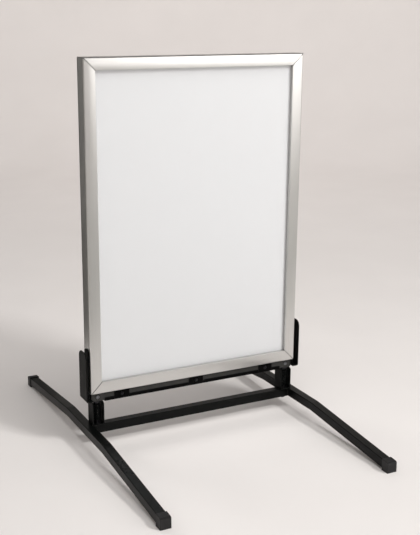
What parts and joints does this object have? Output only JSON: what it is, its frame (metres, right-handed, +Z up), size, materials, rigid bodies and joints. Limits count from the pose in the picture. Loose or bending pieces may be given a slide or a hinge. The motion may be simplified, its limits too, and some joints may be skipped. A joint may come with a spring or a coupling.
{
  "type": "pavement sign",
  "caption": "Double-sided pavement sign: an upright snap frame for posters with hinged aluminium rails, sprung on a black steel base so that it leans in the wind.",
  "frame": {"origin": "on the floor under the middle of the sign", "axes": "+X to the right seen from the front, +Y to the rear, +Z up"},
  "size_m": [0.672, 1, 1.037],
  "materials": {
    "paint": "satin black powder coat",
    "spring": "semi-gloss black",
    "fastener": "blackened steel",
    "foot_cap": "moulded matte black",
    "trim": "moulded matte black",
    "frame": "satin anodised",
    "clip": "bright spring steel",
    "poster": "matte synthetic paper, blank",
    "cover": "clear, slightly matte",
    "backing": "matte"
  },
  "bodies": {
    "base": {"base_bolts": "fastener", "crossbar": "paint", "left_front_cap": "foot_cap", "left_leg": "paint", "left_lower_plug": "fastener", "left_post": "paint", "left_rear_cap": "foot_cap", "left_spring": "spring", "right_front_cap": "foot_cap", "right_leg": "paint", "right_lower_plug": "fastener", "right_post": "paint", "right_rear_cap": "foot_cap", "right_spring": "spring"},
    "sign": {"base_rail_bottom": "frame", "base_rail_left": "frame", "base_rail_right": "frame", "base_rail_top": "frame", "bottom_left_key": "frame", "bottom_right_key": "frame", "bracket_rivets": "fastener", "clamp_screws": "fastener", "cross_bolts": "fastener", "frame_bar": "paint", "front_backing": "backing", "front_cover": "cover", "front_poster": "poster", "front_snap_clips": "clip", "left_bracket": "paint", "left_clamp": "trim", "left_end_strip": "trim", "left_strip": "trim", "left_upper_plug": "fastener", "middle_clamp": "trim", "rear_backing": "backing", "rear_cover": "cover", "rear_poster": "poster", "rear_snap_clips": "clip", "right_bracket": "paint", "right_clamp": "trim", "right_end_strip": "trim", "right_strip": "trim", "right_upper_plug": "fastener", "top_left_key": "frame", "top_right_key": "frame"},
    "front_rail_top": {"front_rail_top": "frame"},
    "front_rail_right": {"front_rail_right": "frame"},
    "front_rail_bottom": {"front_rail_bottom": "frame"},
    "front_rail_left": {"front_rail_left": "frame"},
    "rear_rail_top": {"rear_rail_top": "frame"},
    "rear_rail_right": {"rear_rail_right": "frame"},
    "rear_rail_bottom": {"rear_rail_bottom": "frame"},
    "rear_rail_left": {"rear_rail_left": "frame"}
  },
  "joints": [
    {"name": "lean", "type": "hinge", "parent": "base", "child": "sign", "pos_m": [0, 0, 0.09525], "axis": [1, 0, 0], "range_deg": [-30, 30], "stiffness_Nm_per_rad": 150, "deforming": ["left_spring", "right_spring"]},
    {"name": "open_front_rail_top", "type": "hinge", "parent": "sign", "child": "front_rail_top", "pos_m": [0, -0.0172, 1.0346], "axis": [-1, 0, 0], "range_deg": [0, 90]},
    {"name": "open_front_rail_right", "type": "hinge", "parent": "sign", "child": "front_rail_right", "pos_m": [0.3161, -0.0172, 0.595], "axis": [0, 0, 1], "range_deg": [0, 90]},
    {"name": "open_front_rail_bottom", "type": "hinge", "parent": "sign", "child": "front_rail_bottom", "pos_m": [0, -0.0172, 0.1554], "axis": [1, 0, 0], "range_deg": [0, 90]},
    {"name": "open_front_rail_left", "type": "hinge", "parent": "sign", "child": "front_rail_left", "pos_m": [-0.3161, -0.0172, 0.595], "axis": [0, 0, -1], "range_deg": [0, 90]},
    {"name": "open_rear_rail_top", "type": "hinge", "parent": "sign", "child": "rear_rail_top", "pos_m": [0, 0.0172, 1.0346], "axis": [1, 0, 0], "range_deg": [0, 90]},
    {"name": "open_rear_rail_right", "type": "hinge", "parent": "sign", "child": "rear_rail_right", "pos_m": [0.3161, 0.0172, 0.595], "axis": [0, 0, -1], "range_deg": [0, 90]},
    {"name": "open_rear_rail_bottom", "type": "hinge", "parent": "sign", "child": "rear_rail_bottom", "pos_m": [0, 0.0172, 0.1554], "axis": [-1, 0, 0], "range_deg": [0, 90]},
    {"name": "open_rear_rail_left", "type": "hinge", "parent": "sign", "child": "rear_rail_left", "pos_m": [-0.3161, 0.0172, 0.595], "axis": [0, 0, 1], "range_deg": [0, 90]}
  ]
}
